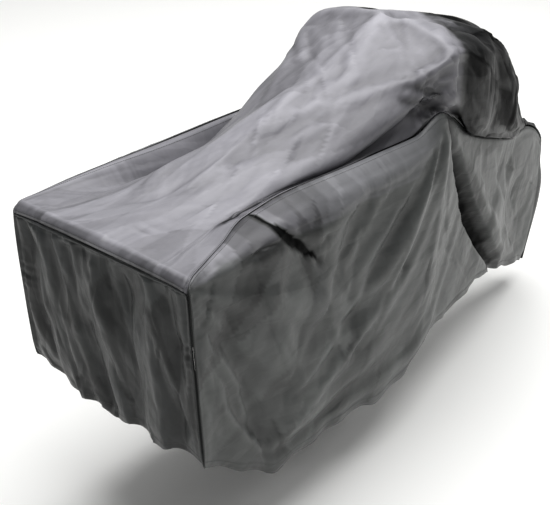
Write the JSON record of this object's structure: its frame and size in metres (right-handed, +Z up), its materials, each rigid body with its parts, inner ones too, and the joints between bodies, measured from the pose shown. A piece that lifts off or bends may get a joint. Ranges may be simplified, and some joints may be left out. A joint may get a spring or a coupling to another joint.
{
  "type": "bicycle cover",
  "caption": "Fitted cloth cover for a long box bicycle, sewn from panels, with a gathered hem and a hood over the saddle.",
  "frame": {"origin": "on the centre plane, under the top, where the cloth rests on the handlebar", "axes": "+Z up, -Y towards the front of the box, +Y towards the tail, +X towards the rider's left"},
  "size_m": [0.6098, 1.9065, 1.0474],
  "materials": {
    "top_cloth": "coated polyester, dark grey, satin",
    "front_cloth": "coated polyester, dark grey, satin",
    "side_cloth": "coated polyester, dark grey, satin"
  },
  "bodies": {
    "root": {"top_panel": "top_cloth", "front_panel": "front_cloth", "side_panel_left": "side_cloth", "side_panel_right": "side_cloth"}
  },
  "joints": []
}
